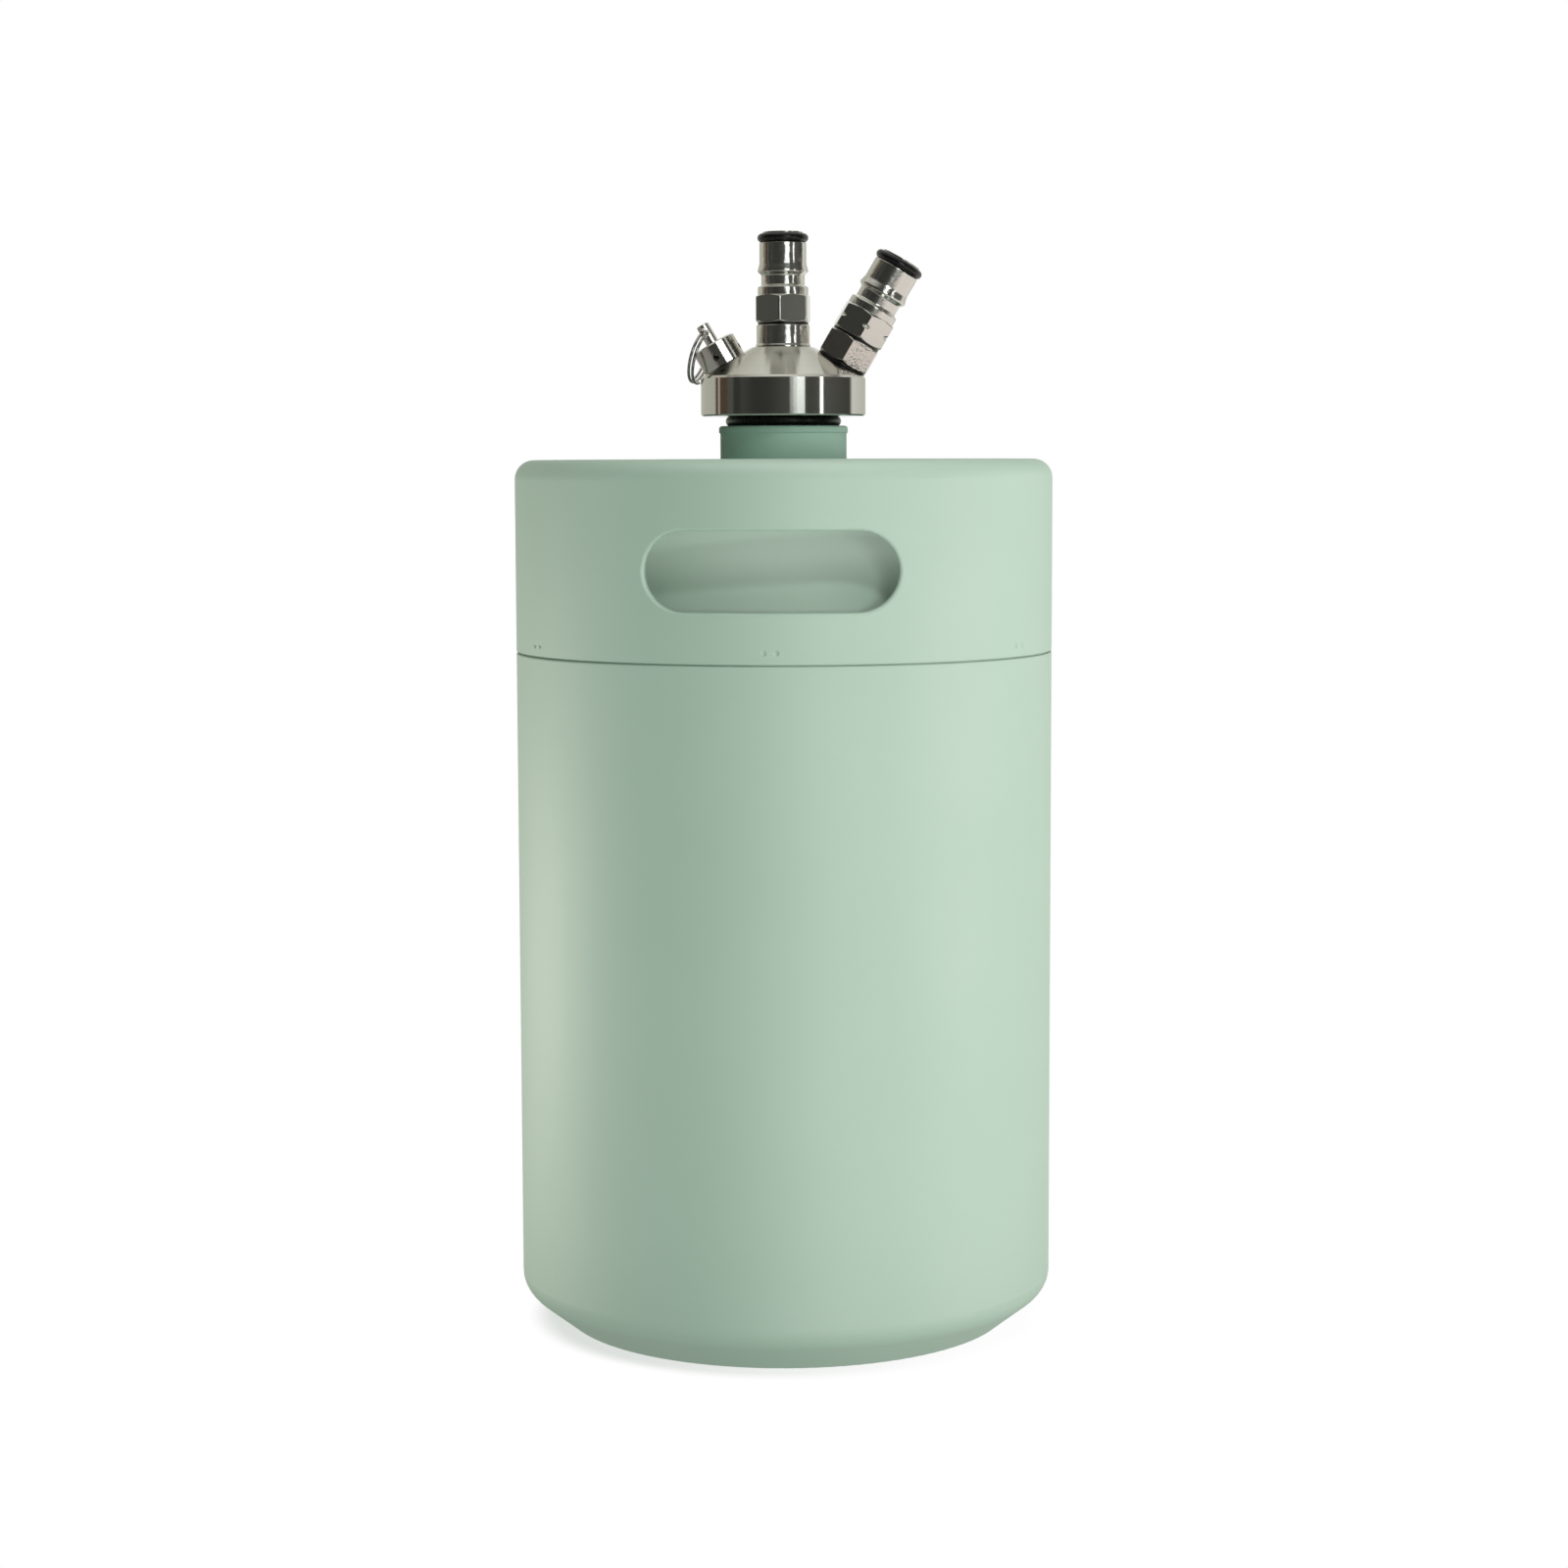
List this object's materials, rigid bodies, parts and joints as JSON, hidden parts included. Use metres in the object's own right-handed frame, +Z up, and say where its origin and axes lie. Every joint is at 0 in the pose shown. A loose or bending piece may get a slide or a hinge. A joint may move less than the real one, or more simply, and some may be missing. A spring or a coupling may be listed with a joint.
{
  "type": "insulated mini keg",
  "caption": "Double-walled cylindrical mini keg with a slotted carrying ring and a screw cap that carries liquid and gas posts and a relief valve.",
  "frame": {"origin": "middle of the foot ring, on the floor", "axes": "+Z up along the keg's axis, -Y the front with a hand slot, +X the side of the gas post"},
  "size_m": [0.183, 0.183, 0.3724],
  "materials": {
    "sage_paint": "matte powder coat",
    "turned_steel": "turned satin",
    "rough_steel": "as cast faces",
    "polished_steel": "polished",
    "spring_steel": "drawn wire",
    "plain_steel": "mill",
    "black_rubber": "moulded"
  },
  "bodies": {
    "keg": {"outer_shell": "sage_paint", "handle_ring": "sage_paint", "inner_vessel": "plain_steel", "base_dish": "sage_paint", "vacuum_seal_disc": "sage_paint", "neck_tube": "sage_paint"},
    "cap_seal": {"cap_seal_ring": "black_rubber"},
    "liquid_valve": {"liquid_poppet": "polished_steel", "liquid_poppet_seal": "black_rubber"},
    "gas_valve": {"gas_poppet": "polished_steel", "gas_poppet_seal": "black_rubber"},
    "relief_stem": {"relief_valve_stem": "polished_steel", "relief_valve_seal": "black_rubber"},
    "pull_ring": {"pull_ring": "spring_steel"},
    "cap": {"cap_body": "turned_steel", "liquid_post_adapter": "polished_steel", "dip_tube": "plain_steel", "dip_tube_o_ring": "black_rubber", "gas_adapter": "rough_steel", "gas_adapter_o_ring": "black_rubber", "relief_valve_body": "polished_steel", "relief_valve_gasket": "black_rubber", "relief_valve_seat": "plain_steel", "relief_valve_spring": "spring_steel", "liquid_post": "polished_steel", "liquid_post_o_ring": "black_rubber", "liquid_post_washer": "black_rubber", "liquid_poppet_retainer": "plain_steel", "liquid_poppet_spring": "spring_steel", "gas_post": "polished_steel", "gas_post_o_ring": "black_rubber", "gas_post_washer": "black_rubber", "gas_poppet_retainer": "plain_steel", "gas_poppet_spring": "spring_steel"}
  },
  "joints": [
    {"name": "cap_lift", "type": "slide", "parent": "keg", "child": "cap_seal", "axis": [0, 0, 1], "range_m": [0, 0.0121]},
    {"name": "cap_turn", "type": "hinge", "parent": "cap_seal", "child": "cap", "pos_m": [0, 0, 0.3103], "axis": [0, 0, 1], "range_deg": [0, 1080]},
    {"name": "liquid_press", "type": "slide", "parent": "cap", "child": "liquid_valve", "axis": [0, 0, -1], "range_m": [0, 0.003], "stiffness_N_per_m": 600, "springref_m": -0.004, "deforming": ["liquid_poppet_spring"]},
    {"name": "gas_press", "type": "slide", "parent": "cap", "child": "gas_valve", "axis": [-0.5048, 0, -0.8632], "range_m": [0, 0.003], "stiffness_N_per_m": 600, "springref_m": -0.004, "deforming": ["gas_poppet_spring"]},
    {"name": "relief_pull", "type": "slide", "parent": "cap", "child": "relief_stem", "axis": [-0.5048, 0, 0.8632], "range_m": [0, 0.002], "stiffness_N_per_m": 800, "springref_m": -0.003, "deforming": ["relief_valve_spring"]},
    {"name": "ring_swing", "type": "hinge", "parent": "relief_stem", "child": "pull_ring", "pos_m": [-0.02621, 0, 0.33885], "axis": [0.3094, 0.9336, 0.1809], "range_deg": [0, 150]}
  ],
  "couplings": [
    {"joint": "cap_lift", "follows": "cap_turn", "m_per_rad": 0.00063662}
  ]
}
